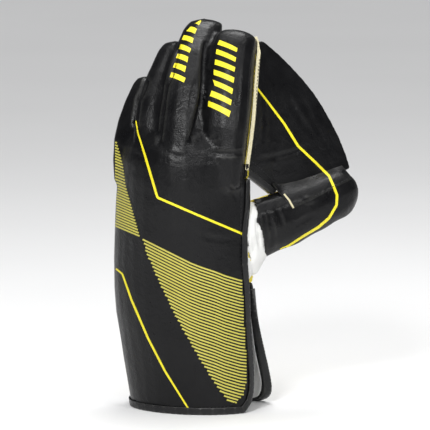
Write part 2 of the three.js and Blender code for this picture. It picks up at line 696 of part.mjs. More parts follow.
// The thumb: its stall and the rubber facing on its front. Everything before its slanted mouth, for
// cutting, is a block whose face runs from the root at the upper side to further out at the lower.
const mouthRings = [-FAR, 0].map((before) =>
  [[-1, -1], [1, -1], [1, 1], [-1, 1]].map(([across, deep]) => {
    const out = (MOUTH_SLANT * (across * FAR + THUMB_WIDTH / 2)) / THUMB_WIDTH;
    return thumb.root
      .clone()
      .addScaledVector(thumb.along, out + before)
      .addScaledVector(thumb.side, across * FAR)
      .addScaledVector(thumb.palm, deep * FAR);
  }),
);
const thumbWalls = evenWalls(THUMB_WALL);
const thumbShell = stallSolid(thumb)
  .subtract(stallSolid(thumb, thumbWalls, -OVERRUN, HOLLOW_END))
  .subtract(gussetSolid(-GAP))
  .subtract(solidFromRings(mouthRings))
  .subtract(grownOuter);
const thumbStall = thumbShell.subtract(stallFront(thumb, -OVERRUN, GAP));
const thumbFacing = thumbShell.intersect(stallFront(thumb, -OVERRUN, 0));

// The web between the index finger and the thumb. across runs from the finger to the outer edge and
// rise from the thumb to the fingertip; depth is how far behind the leather's face a point lies.
const index = fingers[0];
const seamShare = (z) => (z - index.root.z) / index.length;
const seamLow = seamShare(SEAM_LOW * HAND_HEIGHT);
const seamAt = (rise) => stallPoint(index, SEAM_TURN, mix(seamLow, SEAM_HIGH, rise), evenWalls(SIDE_WALL));
const thumbTopAt = (share) => stallPoint(thumb, 180, share, evenWalls(THUMB_WALL), OPEN);
function webLowAt(across) {
  const landing = thumbTopAt(WEB_LANDING);
  if (across < WEB_FREE) return seamAt(0).lerp(landing, across / WEB_FREE);
  return thumbTopAt(mix(WEB_LANDING, WEB_TIP, (across - WEB_FREE) / (1 - WEB_FREE)));
}
const webOut = thumbTopAt(WEB_TIP).sub(seamAt(0)).setZ(0).normalize();
const webBack = vec(-webOut.y, webOut.x, 0);
const webTopAt = (across) => seamAt(1).addScaledVector(webOut, (WEB_TOP + SIDE_WALL) * across);
const webEdge = webTopAt(1).sub(webLowAt(1));
const webBulge = vec(0, 0, 0).crossVectors(webBack, webEdge).setLength(WEB_BULGE);
function webPoint(across, rise, depth) {
  const seam = seamAt(rise).sub(seamAt(0).lerp(seamAt(1), rise));
  return webLowAt(across)
    .lerp(webTopAt(across), rise)
    .addScaledVector(seam, 1 - across)
    .addScaledVector(webBulge, 4 * rise * (1 - rise) * across)
    .addScaledVector(webBack, depth);
}
function webSlab(depth, wall, low = 0) {
  const grid = (at) =>
    steps(low, 1, WEB_ROWS).map((rise) =>
      steps(0, 1, WEB_COLUMNS).map((across) => webPoint(across, rise, at)),
    );
  return solidFromGrids(grid(depth), grid(depth + wall));
}
const grownThumb = stallSolid(thumb, evenWalls(-GAP), 0, 1.01);
const clearOfHand = (solid) => mainBody(solid.subtract(grownOuter).subtract(grownThumb));
const web = clearOfHand(webSlab(0, WEB_WALL));
const webFacing = clearOfHand(webSlab(WEB_WALL + GAP, WEB_FACING_WALL));

// The folded binding along the web's free lower side, and the raw edge of the leather where the
// web is sewn to the index finger.
const webDepth = WEB_WALL + GAP + WEB_FACING_WALL;
const webBinding = clearOfHand(
  solidFromGrids(...[BINDING_WALL + FOLD_GAP, FOLD_GAP].map((off) =>
    steps(0, WEB_FREE, WEB_COLUMNS).map((across) => {
      const rise = BINDING_WIDTH / webPoint(across, 1, 0).distanceTo(webPoint(across, 0, 0));
      const low = -rise * (off / BINDING_WIDTH);
      return [[rise, -off], [low, -off], [low, webDepth + off], [rise, webDepth + off]].map(
        ([at, depth]) => webPoint(across, at, depth),
      );
    }),
  )),
);
const edgeGrid = (turn) =>
  steps(seamLow, SEAM_HIGH, WEB_ROWS).map((share) =>
    [GAP, GAP + EDGE_HEIGHT].map((out) => stallPoint(index, SEAM_TURN + turn, share, evenWalls(-out))),
  );
const edgeTurn = deg(EDGE_WALL / (index.depth / 2));
const indexEdge = clearOfHand(solidFromGrids(edgeGrid(EDGE_TURN + edgeTurn), edgeGrid(EDGE_TURN)));

const group = new THREE.Group();
group.add(meshOf("back_panel", backPanel, LEATHER));
fingers.forEach((stall, i) => group.add(meshOf(`${stall.name}_stall`, stallBacks[i], LEATHER)));
group.add(meshOf("palm_facing", palm, RUBBER));
group.add(meshOf("palm_gauntlet", flap, LEATHER));
group.add(meshOf("gauntlet_lining", lining, WHITE_CLOTH));
group.add(meshOf("rim_binding", rimBinding, LEATHER));
group.add(meshOf("flap_binding", flapBinding, LEATHER));
group.add(meshOf("thumb_gusset", gusset, WHITE_CLOTH));
group.add(meshOf("thumb_stall", thumbStall, LEATHER));
group.add(meshOf("thumb_facing", thumbFacing, RUBBER));
group.add(meshOf("web", web, LEATHER));
group.add(meshOf("web_facing", webFacing, RUBBER));
group.add(meshOf("web_binding", webBinding, LEATHER));
group.add(meshOf("index_edge", indexEdge, RAW_EDGE));

// The glove stands on the middle of its own base.
const box = new THREE.Box3().setFromObject(group);
const middle = box.getCenter(vec(0, 0, 0));
group.position.set(-middle.x, -middle.y, -box.min.z);
export default group;
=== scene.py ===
import json
import math

import bmesh
import bpy
import numpy as np
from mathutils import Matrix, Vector
from mathutils.bvhtree import BVHTree

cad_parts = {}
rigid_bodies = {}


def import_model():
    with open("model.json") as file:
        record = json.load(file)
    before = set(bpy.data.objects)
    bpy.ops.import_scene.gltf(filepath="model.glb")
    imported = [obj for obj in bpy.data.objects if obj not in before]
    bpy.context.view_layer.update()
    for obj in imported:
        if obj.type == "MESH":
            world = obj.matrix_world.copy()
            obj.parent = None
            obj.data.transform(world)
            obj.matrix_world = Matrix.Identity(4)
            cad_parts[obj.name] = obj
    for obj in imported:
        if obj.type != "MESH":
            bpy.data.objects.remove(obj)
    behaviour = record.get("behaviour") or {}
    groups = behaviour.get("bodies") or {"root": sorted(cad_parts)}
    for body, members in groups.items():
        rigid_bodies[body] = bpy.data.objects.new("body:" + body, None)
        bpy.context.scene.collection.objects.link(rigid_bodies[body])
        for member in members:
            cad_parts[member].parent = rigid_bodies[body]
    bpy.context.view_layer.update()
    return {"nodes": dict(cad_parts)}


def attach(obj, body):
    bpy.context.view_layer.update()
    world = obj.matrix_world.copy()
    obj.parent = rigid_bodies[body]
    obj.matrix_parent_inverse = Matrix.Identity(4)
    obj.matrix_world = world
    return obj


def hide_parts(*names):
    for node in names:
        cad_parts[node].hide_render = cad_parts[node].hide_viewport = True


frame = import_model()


# The place the glove is looked at from: a long lens, a little to the thumb's side of square on and
# slightly above. Every print is laid out as seen from here, in picture points of 0.87 mm.
AZIMUTH = math.radians(20)
ELEVATION = math.radians(8)
POINT = 0.00087
MIDDLE = 215
EYE_DISTANCE = 5.0
SENSOR = 36
GAUNTLET_FOOT = np.array((-0.02818, -0.02191, 0.0))
FOOT_AT = (190, 406.5)
across = np.array((math.cos(AZIMUTH), math.sin(AZIMUTH), 0))
ahead = np.array(
    (
        -math.sin(AZIMUTH) * math.cos(ELEVATION),
        math.cos(AZIMUTH) * math.cos(ELEVATION),
        -math.sin(ELEVATION),
    )
)
upward = np.cross(across, ahead)
aim = (
    GAUNTLET_FOOT
    + across * (MIDDLE - FOOT_AT[0]) * POINT
    + upward * (FOOT_AT[1] - MIDDLE) * POINT
)
eye = aim - ahead * EYE_DISTANCE

camera = bpy.data.objects.new("camera", bpy.data.cameras.new("camera"))
bpy.context.scene.collection.objects.link(camera)
camera.location = eye
camera.rotation_mode = "QUATERNION"
camera.rotation_quaternion = Vector(ahead).to_track_quat("-Z", "Y")
camera.data.sensor_width = SENSOR
camera.data.lens = SENSOR * EYE_DISTANCE / (2 * MIDDLE * POINT)
camera.data.clip_end = 60
bpy.context.scene.camera = camera


def seen_at(places):
    """The picture points at which places in the frame are seen."""
    away = places - eye
    scale = EYE_DISTANCE / POINT / (away @ ahead)
    return MIDDLE + (away @ across) * scale, MIDDLE - (away @ upward) * scale


def look_at(x, y):
    """The direction from the eye through one picture point."""
    way = ahead * EYE_DISTANCE + across * (x - MIDDLE) * POINT + upward * (MIDDLE - y) * POINT
    return Vector(way / np.linalg.norm(way))


# Soft studio light: a large key from the upper left, a weaker fill from the right, a strip behind the
# fingertips that draws their edges, and a pale surround.
LAMPS = {
    "key": ((-0.36, -1.5, 0.8), 0.32, 17),
    "fill": ((0.9, -1.2, 0.75), 0.3, 6),
    "crown": ((0.1, 0.3, 1.3), 0.6, 9),
    "window": ((0.2, -1.75, 0.28), 0.35, 5),
}
for name, (place, size, power) in LAMPS.items():
    lamp = bpy.data.objects.new(name, bpy.data.lights.new(name, "AREA"))
    bpy.context.scene.collection.objects.link(lamp)
    lamp.data.size = size
    lamp.data.energy = power
    spot = Vector(aim + across * place[0] + ahead * place[1] + upward * place[2])
    lamp.location = spot
    lamp.rotation_mode = "QUATERNION"
    lamp.rotation_quaternion = (Vector(aim) - spot).to_track_quat("-Z", "Y")

sky = bpy.data.objects.new("overhead", bpy.data.lights.new("overhead", "SUN"))
bpy.context.scene.collection.objects.link(sky)
sky.data.energy = 1.7
sky.data.angle = math.radians(60)

world = bpy.data.worlds.new("surround")
bpy.context.scene.world = world
world.use_nodes = True
world.node_tree.nodes["Background"].inputs["Color"].default_value = (0.93, 0.95, 1.0, 1)
world.node_tree.nodes["Background"].inputs["Strength"].default_value = 0.1
bpy.context.scene.view_settings.view_transform = "Standard"


# The leather of the back, thumb, flap and bindings: smooth, black, semi-gloss, with a fine grain, soft
# wrinkles, drier patches, and edges rubbed a little greyer. One maker of materials does for all hides.
def shader_for(name):
    """A new material and its shader, with a small helper that adds and joins nodes."""
    material = bpy.data.materials.new(name)
    material.use_nodes = True
    tree = material.node_tree
    shader = tree.nodes["Principled BSDF"]

    def add(kind, **values):
        node = tree.nodes.new(kind)
        for key, value in values.items():
            if isinstance(value, bpy.types.NodeSocket):
                tree.links.new(value, node.inputs[key])
            elif key in node.inputs:
                node.inputs[key].default_value = value
            else:
                setattr(node, key, value)
        return node

    return material, shader, add, tree.links.new


def spread(add, value, low, high, to_low, to_high):
    """A value taken from one range to another."""
    node = add("ShaderNodeMapRange", **{"From Min": low, "From Max": high, "To Min": to_low, "To Max": to_high})
    node.id_data.links.new(value, node.inputs["Value"])
    return node.outputs["Result"]


def between(add, share, first, second):
    """A colour between two, by a share."""
    node = add("ShaderNodeMix", data_type="RGBA")
    node.inputs[6].default_value = (*first, 1)
    node.inputs[7].default_value = (*second, 1)
    node.id_data.links.new(share, node.inputs[0])
    return node.outputs[2]


def hide(name, dark, light, rubbed, rough, grain=0.9, wrinkle=0.5, gloss=0.22):
    material, shader, add, link = shader_for(name)
    place = add("ShaderNodeTexCoord").outputs["Object"]
    pores = add("ShaderNodeTexVoronoi", Vector=place, Scale=950.0)
    mottle = add("ShaderNodeTexNoise", Vector=place, Scale=70.0, Detail=4.0)
    creases = add("ShaderNodeTexNoise", Vector=place, Scale=190.0, Detail=6.0, Distortion=0.6)
    wear = add("ShaderNodeAttribute", attribute_name="wear").outputs["Fac"]
    ground = between(add, mottle.outputs["Fac"], dark, light)
    worn = add("ShaderNodeMix", data_type="RGBA")
    link(spread(add, wear, 0.15, 1.0, 0.0, 0.6), worn.inputs[0])
    link(ground, worn.inputs[6])
    worn.inputs[7].default_value = (*rubbed, 1)
    link(worn.outputs[2], shader.inputs["Base Color"])
    link(spread(add, mottle.outputs["Fac"], 0.3, 0.7, *rough), shader.inputs["Roughness"])
    fine = add("ShaderNodeBump", Height=pores.outputs["Distance"], Strength=0.35 * grain, Distance=0.0003)
    soft = add(
        "ShaderNodeBump",
        Height=creases.outputs["Fac"],
        Strength=wrinkle,
        Distance=0.0009,
        Normal=fine.outputs["Normal"],
    )
    link(soft.outputs["Normal"], shader.inputs["Normal"])
    shader.inputs["Specular IOR Level"].default_value = gloss
    return material


BLACK_LEATHER = hide("black leather", (0.0025, 0.0025, 0.003), (0.007, 0.007, 0.0075), (0.03, 0.03, 0.028), (0.27, 0.4))


# The back of the glove: one black leather skin over the hand, the gauntlet and the four fingers, padded
# behind with foam. It is cut in one with the finger backs, which part along deep sewn grooves.
SKIN_CELL = 0.0021
CLOSING = 0.0008


def merged(name, *nodes):
    """One object from copies of CAD nodes, with their loose triangles merged."""
    shape = bmesh.new()
    for node in nodes:
        shape.from_mesh(frame["nodes"][node].data)
    bmesh.ops.remove_doubles(shape, verts=shape.verts, dist=0.00002)
    mesh = bpy.data.meshes.new(name)
    shape.to_mesh(mesh)
    shape.free()
    made = bpy.data.objects.new(name, mesh)
    bpy.context.scene.collection.objects.link(made)
    return made


def baked(piece):
    """The piece with its modifiers applied."""
    bpy.context.view_layer.update()
    graph = bpy.context.evaluated_depsgraph_get()
    mesh = bpy.data.meshes.new_from_object(piece.evaluated_get(graph), depsgraph=graph)
    piece.modifiers.clear()
    piece.data = mesh
    return piece


def places_of(piece):
    co = np.empty(len(piece.data.vertices) * 3, np.float32)
    piece.data.vertices.foreach_get("co", co)
    return co.reshape(-1, 3).astype(float)


def normals_of(piece):
    no = np.empty(len(piece.data.vertices) * 3, np.float32)
    piece.data.vertex_normals.foreach_get("vector", no)
    return no.reshape(-1, 3).astype(float)


def move_to(piece, places):
    piece.data.vertices.foreach_set("co", places.astype(np.float32).ravel())
    piece.data.update()


def grow(piece, by):
    move_to(piece, places_of(piece) + normals_of(piece) * by)


def moulded(piece, cell, rounds, closing=0.0):
    """The piece remade as an even skin, its narrow slots closed and its facets smoothed away."""
    if closing:
        grow(piece, closing)
    remesh = piece.modifiers.new("even", "REMESH")
    remesh.mode = "VOXEL"
    remesh.voxel_size = cell
    smooth = piece.modifiers.new("smooth", "SMOOTH")
    smooth.factor = 0.5
    smooth.iterations = rounds
    baked(piece)
    if closing:
        grow(piece, -closing)
    return piece


def pull_of(piece):
    """How far each vertex stands out from the middle of its neighbours, along its normal."""
    ends = np.empty(len(piece.data.edges) * 2, np.int32)
    piece.data.edges.foreach_get("vertices", ends)
    a, b = ends.reshape(-1, 2).T
    co = places_of(piece)
    total = np.zeros_like(co)
    count = np.zeros(len(co))
    np.add.at(total, a, co[b])
    np.add.at(total, b, co[a])
    np.add.at(count, a, 1)
    np.add.at(count, b, 1)
    return ((co - total / np.maximum(count, 1)[:, None]) * normals_of(piece)).sum(1)


def mark_wear(piece, scale=0.00035):
    """Writes how exposed each place is as the attribute that the hide's rubbed colour reads."""
    worn = np.clip(pull_of(piece) / scale, 0, 1)
    attribute = piece.data.attributes.new("wear", "FLOAT", "POINT")
    attribute.data.foreach_set("value", worn.astype(np.float32))


def near(x, y, path):
    """The distance of picture points from a path, and how far along it they lie, from 0 to 1."""
    path = np.array(path, float)
    steps = np.linalg.norm(np.diff(path, axis=0), axis=1)
    start = np.concatenate(([0], np.cumsum(steps)))
    best = np.full(len(x), 1e9)
    along = np.zeros(len(x))
    for i in range(len(steps)):
        d = path[i + 1] - path[i]
        t = np.clip(((x - path[i][0]) * d[0] + (y - path[i][1]) * d[1]) / (d @ d), 0, 1)
        gap = np.hypot(x - path[i][0] - t * d[0], y - path[i][1] - t * d[1])
        closer = gap < best
        best[closer] = gap[closer]
        along[closer] = ((start[i] + t * steps[i]) / start[-1])[closer]
    return best, along


def crease(piece, path, depth, width, lip=0.0, tail=0.15):
    """Presses a fold into the side of a piece that faces the eye, with a low lip on both sides."""
    co, no = places_of(piece), normals_of(piece)
    x, y = seen_at(co)
    gap, along = near(x, y, path)
    ends = np.clip(np.minimum(along, 1 - along) / tail, 0, 1) if tail else 1.0
    facing = np.clip(-(no @ ahead) * 3, 0, 1)
    press = depth * np.exp(-((gap / width) ** 2)) - lip * np.exp(-(((gap - 2.2 * width) / width) ** 2))
    move_to(piece, co - no * (press * ends * facing)[:, None])


def nudge(piece, *moves):
    """Shifts parts of a piece sideways as seen: each move is a middle, a radius and a shift in points."""
    co = places_of(piece)
    x, y = seen_at(co)
    shift = np.zeros_like(co)
    for middle, radius, way in moves:
        share = np.exp(-(((x - middle[0]) ** 2 + (y - middle[1]) ** 2) / radius**2))
        shift += share[:, None] * (across * way[0] - upward * way[1]) * POINT
    move_to(piece, co + shift)


def unrest(piece, size, wave, seed, rows=9):
    """Moves a piece by a slow field of waves, the same for both faces of a thin wall."""
    chance = np.random.default_rng(seed)
    co = places_of(piece)
    shift = np.zeros_like(co)
    for _ in range(rows):
        way = chance.normal(size=3)
        push = chance.normal(size=3)
        turn = chance.uniform(0, 2 * math.pi)
        phase = co @ (way / np.linalg.norm(way)) * 2 * math.pi / wave + turn
        shift += np.sin(phase)[:, None] * push / np.linalg.norm(push)
    move_to(piece, co + shift * size / math.sqrt(rows))


def finish_piece(piece, material, slot, *nodes, sharp=40):
    piece.data.shade_smooth()
    if sharp:
        piece.data.set_sharp_from_angle(angle=math.radians(sharp))
    piece.data.materials.clear()
    piece.data.materials.append(material)
    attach(piece, "root")
    if nodes:
        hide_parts(*nodes)
    return piece


skin = merged("back_skin", "back_panel", "index_stall", "middle_stall", "ring_stall", "little_stall")
moulded(skin, SKIN_CELL, 6, CLOSING)
TIP_SET = (((259, 39), 9, (2, -3)), ((221, 24), 6, (3.5, -2)))
nudge(skin, *TIP_SET)
unrest(skin, 0.0005, 0.045, 3)
GROOVES = [
    ([(148.7, 76), (144, 90), (139, 100), (136, 121), (137, 130)], 0.0028, 1.9, 0.0006),
    ([(179.5, 41), (170, 77), (166, 86), (164, 98), (162.5, 112), (159.6, 135), (158.5, 146)], 0.0036, 2.0, 0.0007),
    ([(206, 40), (204.5, 64), (204, 87), (203, 98), (201, 107), (197, 120), (194, 134), (189, 144)], 0.0045, 2.6, 0.0007),
]
for path, depth, width, lip in GROOVES:
    crease(skin, path, depth, width, lip, tail=0.1)
WRINKLES = [
    ([(203, 151), (220, 153.5), (236, 154), (249, 152)], 0.0011, 1.8),
    ([(226, 182), (231, 190), (237, 201)], 0.0008, 1.5),
    ([(206, 146), (214, 138), (222, 134)], 0.0006, 1.6),
    ([(164, 150), (176, 156), (190, 157)], 0.0006, 2.0),
    ([(132, 150), (140, 158), (150, 160)], 0.0005, 1.8),
    ([(190, 232), (214, 240), (238, 241)], 0.0005, 2.2),
]
for path, depth, width in WRINKLES:
    crease(skin, path, depth, width, depth * 0.4, tail=0.4)
mark_wear(skin)
finish_piece(
    skin, BLACK_LEATHER, "black_leather", "back_panel", "index_stall", "middle_stall", "ring_stall", "little_stall",
    sharp=0,
)


# The rubber-faced palm and finger fronts: one thick moulded skin of yellow rubber on leather, with rows
# of small round pimples that grip the ball. Its edge shows beside the fingers.
def rubber(name, dark, light):
    material, shader, add, link = shader_for(name)
    place = add("ShaderNodeTexCoord").outputs["Object"]
    mottle = add("ShaderNodeTexNoise", Vector=place, Scale=60.0, Detail=5.0)
    dust = add("ShaderNodeTexNoise", Vector=place, Scale=1400.0, Detail=2.0)
    link(between(add, mottle.outputs["Fac"], dark, light), shader.inputs["Base Color"])
    link(spread(add, mottle.outputs["Fac"], 0.3, 0.7, 0.55, 0.72), shader.inputs["Roughness"])
    bump = add("ShaderNodeBump", Height=dust.outputs["Fac"], Strength=0.3, Distance=0.0003)
    link(bump.outputs["Normal"], shader.inputs["Normal"])
    return material


PALM_RUBBER = rubber("palm rubber", (0.62, 0.49, 0.03), (0.80, 0.66, 0.05))
palm = merged("palm_rubber", "palm_facing")
moulded(palm, 0.0016, 5, 0.0006)
nudge(palm, *TIP_SET)
unrest(palm, 0.0004, 0.05, 5)
finish_piece(palm, PALM_RUBBER, "palm_rubber", "palm_facing", sharp=0)


def new_tree(name, inputs):
    """A Geometry Nodes tree with named inputs, and helpers that add nodes and join them."""
    tree = bpy.data.node_groups.new(name, "GeometryNodeTree")
    tree.interface.new_socket("Geometry", in_out="INPUT", socket_type="NodeSocketGeometry")
    for label, kind in inputs:
        tree.interface.new_socket(label, in_out="INPUT", socket_type="NodeSocket" + kind)
    tree.interface.new_socket("Geometry", in_out="OUTPUT", socket_type="NodeSocketGeometry")
    entry = tree.nodes.new("NodeGroupInput")
    out = tree.nodes.new("NodeGroupOutput")

    def add(kind, **values):
        node = tree.nodes.new(kind)
        for key, value in values.items():
            label = key.replace("_", " ")
            target = node.inputs.get(label)
            if isinstance(value, bpy.types.NodeSocket):
                tree.links.new(value, target)
            elif target is not None:
                target.default_value = value
            else:
                setattr(node, key, value)
        return node

    return tree, entry, out, add


def grown_by(tree, piece, values):
    """Runs a tree on a piece once and returns what it makes as a new plain piece."""
    step = piece.modifiers.new("tree", "NODES")
    step.node_group = tree
    for item in tree.interface.items_tree:
        if item.in_out == "INPUT" and item.name in values:
            step[item.identifier] = values[item.name]
    bpy.context.view_layer.update()
    graph = bpy.context.evaluated_depsgraph_get()
    mesh = bpy.data.meshes.new_from_object(piece.evaluated_get(graph), depsgraph=graph)
    piece.modifiers.remove(step)
    return mesh


pimple_tree, entry, out, add = new_tree(
    "pimples",
    [("Width", "Float"), ("Height", "Float"), ("Across", "Int"), ("Up", "Int"), ("Start", "Vector"),
     ("Pimple", "Float"), ("Material", "Material")],
)
grid = add("GeometryNodeMeshGrid")
for label, socket in (("Size X", "Width"), ("Size Y", "Height"), ("Vertices X", "Across"), ("Vertices Y", "Up")):
    pimple_tree.links.new(entry.outputs[socket], grid.inputs[label])
upright = add(
    "GeometryNodeTransform",
    Geometry=grid.outputs["Mesh"],
    Translation=entry.outputs["Start"],
    Rotation=(math.radians(90), 0, 0),
)
hit = add("GeometryNodeRaycast", data_type="FLOAT")
pimple_tree.links.new(entry.outputs["Geometry"], hit.inputs["Target Geometry"])
hit.inputs["Ray Direction"].default_value = (0, -1, 0)
hit.inputs["Ray Length"].default_value = 0.4
facing = add("ShaderNodeVectorMath", operation="DOT_PRODUCT")
pimple_tree.links.new(hit.outputs["Hit Normal"], facing.inputs[0])
facing.inputs[1].default_value = (0, 1, 0)
square_on = add("FunctionNodeCompare", data_type="FLOAT", operation="GREATER_THAN")
pimple_tree.links.new(facing.outputs["Value"], square_on.inputs[0])
square_on.inputs[1].default_value = 0.35
kept = add("FunctionNodeBooleanMath", operation="AND")
pimple_tree.links.new(hit.outputs["Is Hit"], kept.inputs[0])
pimple_tree.links.new(square_on.outputs["Result"], kept.inputs[1])
turned = add("FunctionNodeAlignRotationToVector", axis="Z", Vector=hit.outputs["Hit Normal"])
store = add("GeometryNodeStoreNamedAttribute", data_type="QUATERNION", domain="POINT", Name="turn")
pimple_tree.links.new(upright.outputs["Geometry"], store.inputs["Geometry"])
pimple_tree.links.new(turned.outputs["Rotation"], store.inputs["Value"])
keep = add("GeometryNodeStoreNamedAttribute", data_type="BOOLEAN", domain="POINT", Name="kept")
pimple_tree.links.new(store.outputs["Geometry"], keep.inputs["Geometry"])
pimple_tree.links.new(kept.outputs["Boolean"], keep.inputs["Value"])
landed = add("GeometryNodeSetPosition", Geometry=keep.outputs["Geometry"], Position=hit.outputs["Hit Position"])
dome = add("GeometryNodeMeshIcoSphere", Radius=entry.outputs["Pimple"], Subdivisions=1)
flat = add("GeometryNodeTransform", Geometry=dome.outputs["Mesh"], Scale=(1, 1, 0.7))
read_turn = add("GeometryNodeInputNamedAttribute", data_type="QUATERNION", Name="turn")
read_kept = add("GeometryNodeInputNamedAttribute", data_type="BOOLEAN", Name="kept")
spotted = add("GeometryNodeInstanceOnPoints")
for value, label in (
    (landed.outputs["Geometry"], "Points"),
    (read_kept.outputs["Attribute"], "Selection"),
    (flat.outputs["Geometry"], "Instance"),
    (read_turn.outputs["Attribute"], "Rotation"),
):
    pimple_tree.links.new(value, spotted.inputs[label])
solid = add("GeometryNodeRealizeInstances", Geometry=spotted.outputs["Instances"])
coated = add("GeometryNodeSetMaterial", Geometry=solid.outputs["Geometry"], Material=entry.outputs["Material"])
pimple_tree.links.new(coated.outputs["Geometry"], out.inputs[0])


def pimpled(name, piece, low, high, pitch):
    """Pimples on the palm side of a piece, in even rows between two corners."""
    width, height = high[0] - low[0], high[1] - low[1]
    mesh = grown_by(
        pimple_tree,
        piece,
        {
            "Width": width,
            "Height": height,
            "Across": int(width / pitch) + 1,
            "Up": int(height / pitch) + 1,
            "Start": ((low[0] + high[0]) / 2, 0.2, (low[1] + high[1]) / 2),
            "Pimple": 0.0010,
            "Material": PALM_RUBBER,
        },
    )
    made = bpy.data.objects.new(name, mesh)
    bpy.context.scene.collection.objects.link(made)
    return finish_piece(made, PALM_RUBBER, "palm_rubber", sharp=0)


pimpled("palm_pimples", palm, (-0.093, 0.116), (0.027, 0.322), 0.0036)


# The thumb: a separate stall of the same black leather, rubber faced on its palm side, that stands out
# from the hand on the white gusset. Its base is gathered in soft wrinkles.
THUMB_SET = (((268, 250), 15, (-7, 6)), ((298, 240), 18, (0, 5.5)), ((325, 226), 16, (1, 4)), ((346, 212), 12, (1, 3)))
thumb = merged("thumb_skin", "thumb_stall")
moulded(thumb, 0.0018, 5)
nudge(thumb, *THUMB_SET)
unrest(thumb, 0.0005, 0.035, 8)
THUMB_WRINKLES = [
    ([(266, 208), (271, 222), (273, 238), (269, 252)], 0.0011, 1.8),
    ([(275, 206), (281, 219), (283, 232)], 0.0008, 1.6),
    ([(263, 214), (267, 224)], 0.0007, 1.3),
    ([(300, 196), (308, 201), (318, 200)], 0.0008, 1.8),
    ([(292, 226), (302, 222), (312, 215)], 0.0005, 1.8),
]
for path, depth, width in THUMB_WRINKLES:
    crease(thumb, path, depth, width, depth * 0.5, tail=0.4)
mark_wear(thumb)
finish_piece(thumb, BLACK_LEATHER, "black_leather", "thumb_stall", sharp=0)

thumb_rubber = merged("thumb_rubber", "thumb_facing")
moulded(thumb_rubber, 0.0018, 3)
nudge(thumb_rubber, *THUMB_SET)
finish_piece(thumb_rubber, PALM_RUBBER, "palm_rubber", "thumb_facing", sharp=0)
pimpled("thumb_pimples", thumb_rubber, (0.010, 0.137), (0.089, 0.200), 0.0036)


# The gusset: a sleeve of thin white stretch cloth that joins the thumb to the hand, tucked in at both
# ends and puckered where the thumb folds over it.
def woven(name, dark, light):
    material, shader, add, link = shader_for(name)
    place = add("ShaderNodeTexCoord").outputs["Object"]
    warp = add("ShaderNodeTexWave", Vector=place, Scale=620.0, Distortion=0.6, bands_direction="Z")
    weft = add("ShaderNodeTexWave", Vector=place, Scale=620.0, Distortion=0.6, bands_direction="X")
    knit = add("ShaderNodeMath", operation="MULTIPLY")
    link(warp.outputs["Fac"], knit.inputs[0])
    link(weft.outputs["Fac"], knit.inputs[1])
    soil = add("ShaderNodeTexNoise", Vector=place, Scale=90.0, Detail=5.0)
    link(between(add, soil.outputs["Fac"], dark, light), shader.inputs["Base Color"])
    bump = add("ShaderNodeBump", Height=knit.outputs["Value"], Strength=0.4, Distance=0.0004)
    link(bump.outputs["Normal"], shader.inputs["Normal"])
    shader.inputs["Roughness"].default_value = 0.85
    shader.inputs["Sheen Weight"].default_value = 0.3
    return material


WHITE_CLOTH = woven("white cloth", (0.70, 0.70, 0.68), (0.86, 0.86, 0.84))


def cut_fine(piece, longest, rounds, factor=0.35):
    """Splits long edges and eases the facets of a thin piece, keeping its walls."""
    shape = bmesh.new()
    shape.from_mesh(piece.data)
    for _ in range(6):
        long = [edge for edge in shape.edges if edge.calc_length() > longest]
        if not long:
            break
        bmesh.ops.subdivide_edges(shape, edges=long, cuts=1)
        bmesh.ops.triangulate(shape, faces=shape.faces)
    for _ in range(rounds):
        bmesh.ops.smooth_vert(shape, verts=shape.verts, factor=factor, use_axis_x=True, use_axis_y=True, use_axis_z=True)
    shape.to_mesh(piece.data)
    shape.free()
    return piece


gusset = cut_fine(merged("thumb_gusset_cloth", "thumb_gusset"), 0.003, 3)
THUMB_WAY = np.array((0.6955, 0.6486, 0.309))
PALM_WAY = np.array((-0.682, 0.731, 0.0))
ROOT_REACH = 0.020
co = places_of(gusset)
back = (co @ THUMB_WAY).min() + 0.014 - co @ THUMB_WAY
inner = (co - co.mean(0)) @ PALM_WAY
move_to(gusset, co - THUMB_WAY * (ROOT_REACH * np.clip(back / 0.014, 0, 1) * np.clip((inner + 0.006) / 0.014, 0, 1))[:, None])
nudge(gusset, ((256, 264), 12, (0, 9)), ((266, 240), 10, (-5, 0)))
unrest(gusset, 0.0006, 0.016, 11)
for path, depth, width in (
    ([(257, 216), (258, 232), (260, 250)], 0.0016, 1.8),
    ([(251, 206), (248.5, 214), (248, 224)], 0.0012, 1.5),
    ([(251, 262), (254, 248), (254, 236)], 0.0008, 1.6),
):
    crease(gusset, path, depth, width, depth * 0.4, tail=0.3)
finish_piece(gusset, WHITE_CLOTH, "white_cloth", "thumb_gusset")


# The catching web between index finger and thumb: two thin sheets, black leather over rubber, that hang
# from the thumb's top and the index finger's side and crease where they are sewn down.
WEB_FOLDS = [
    ([(293, 206), (310, 199), (330, 189), (355, 176)], 0.0012, 2.2),
    ([(257, 160), (275, 157), (292, 153), (312, 146)], 0.0010, 2.2),
    ([(259, 74), (261, 96), (263, 120), (262, 148)], 0.0011, 2.0),
    ([(266, 100), (269, 122), (270, 146)], 0.0007, 1.8),
    ([(284, 92), (300, 118), (318, 142)], 0.0006, 3.0),
    ([(300, 96), (312, 120), (330, 150)], 0.0005, 3.0),
]


def folded(piece):
    """The same soft folds on both sheets of the web, pressed along one direction."""
    co = places_of(piece)
    x, y = seen_at(co)
    shift = np.zeros(len(co))
    for path, depth, width in WEB_FOLDS:
        gap, along = near(x, y, path)
        ends = np.clip(np.minimum(along, 1 - along) / 0.3, 0, 1)
        shift += depth * ends * (np.exp(-((gap / width) ** 2)) - 0.4 * np.exp(-(((gap - 5) / 3) ** 2)))
    move_to(piece, co + ahead * shift[:, None])
    unrest(piece, 0.0005, 0.05, 21)


